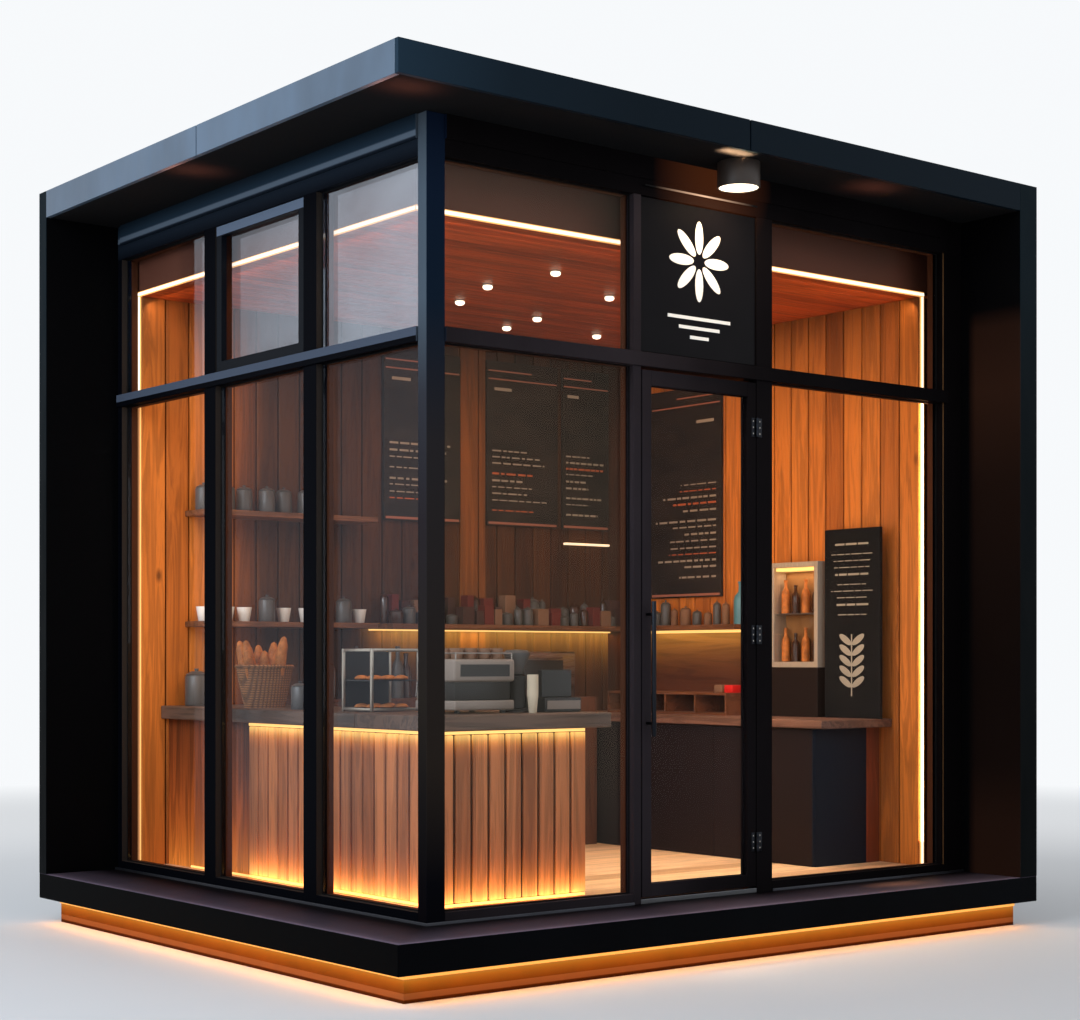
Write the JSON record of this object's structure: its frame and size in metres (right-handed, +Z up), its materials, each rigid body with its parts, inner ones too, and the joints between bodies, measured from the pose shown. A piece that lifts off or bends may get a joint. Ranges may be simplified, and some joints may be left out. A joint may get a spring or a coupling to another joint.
{
  "type": "street kiosk",
  "caption": "Glazed corner kiosk: a dark metal portal of slab, roof and two walls, a hinged glass door, a timber-lined lit room with boarded counter and shelves.",
  "frame": {"origin": "middle of the footprint, on the ground", "axes": "+X along the door facade to the solid end wall, -Y out of the door facade, +Z up"},
  "size_m": [4, 3.35, 3.83],
  "materials": {
    "base_concrete": "plain cast concrete, dark",
    "warm_light": "warm light strip behind a milky cover",
    "slab_steel": "satin black coated sheet",
    "floor_timber": "oiled floor boards",
    "wall_steel": "satin black coated sheet",
    "roof_steel": "satin black coated sheet",
    "edge_steel": "satin slate coated sheet",
    "frame_metal": "satin black powder coat",
    "threshold_metal": "dark anodised, ribbed",
    "pane_glass": "clear sealed glass unit",
    "sign_black": "smooth satin black panel",
    "sash_metal": "satin slate powder coat",
    "hinge_metal": "blackened steel",
    "ceiling_timber": "red-brown ceiling boards",
    "bulkhead_brown": "dark brown matt panel",
    "wall_timber": "warm upright boards, oiled",
    "lamp_white": "opal lens, lit",
    "counter_core": "stained board",
    "cabinet_timber": "oiled timber panel",
    "counter_timber": "pale oak boards, matt",
    "worktop_timber": "grey-brown oiled top",
    "counter_navy": "matt navy board",
    "dark_worktop": "dark stained board",
    "shelf_timber": "stained shelf board",
    "board_slate": "matt chalk board",
    "case_metal": "brushed frame",
    "case_glass": "clear glass",
    "lamp_metal": "satin bronze-black housing"
  },
  "bodies": {
    "kiosk": {"base_plinth": "base_concrete", "base_lights": "warm_light", "floor_slab": "slab_steel", "room_floor": "floor_timber", "right_wall": "wall_steel", "back_wall": "wall_steel", "roof_deck": "roof_steel", "front_fascia": "edge_steel", "left_fascia": "edge_steel", "corner_post": "frame_metal", "front_uprights": "frame_metal", "front_jamb": "frame_metal", "left_uprights": "frame_metal", "left_jamb": "frame_metal", "front_header": "frame_metal", "left_header": "frame_metal", "front_transoms": "frame_metal", "left_transoms": "frame_metal", "transom_covers": "frame_metal", "front_sills": "frame_metal", "left_sills": "frame_metal", "door_threshold": "threshold_metal", "front_panes": "pane_glass", "left_panes": "pane_glass", "sign_panel": "sign_black", "vent_sash": "sash_metal", "frame_hinges": "hinge_metal", "ceiling": "ceiling_timber", "front_bulkhead": "bulkhead_brown", "left_bulkhead": "bulkhead_brown", "end_wall_lining": "wall_timber", "back_wall_lining": "wall_timber", "room_lights": "warm_light", "downlights": "lamp_white", "front_counter": "counter_core", "side_counter": "cabinet_timber", "counter_boards": "counter_timber", "front_worktop": "worktop_timber", "side_worktop": "worktop_timber", "furniture_lights": "warm_light", "wall_counter": "counter_navy", "wall_counter_end": "cabinet_timber", "wall_worktop": "dark_worktop", "back_bar": "dark_worktop", "wall_shelves": "shelf_timber", "menu_boards": "board_slate", "poster_stand": "board_slate", "display_case": "case_metal", "display_glass": "case_glass", "soffit_lamp": "lamp_metal", "lamp_lens": "lamp_white"},
    "door": {"door_lock_stile": "frame_metal", "door_hinge_stile": "frame_metal", "door_top_rail": "frame_metal", "door_bottom_rail": "frame_metal", "door_glass": "pane_glass", "door_pulls": "frame_metal", "door_hinges": "hinge_metal"}
  },
  "joints": [
    {"name": "door_hinge", "type": "hinge", "parent": "kiosk", "child": "door", "pos_m": [0.3375, -1.308, 1.455], "axis": [0, 0, 1], "range_deg": [0, 90]}
  ]
}
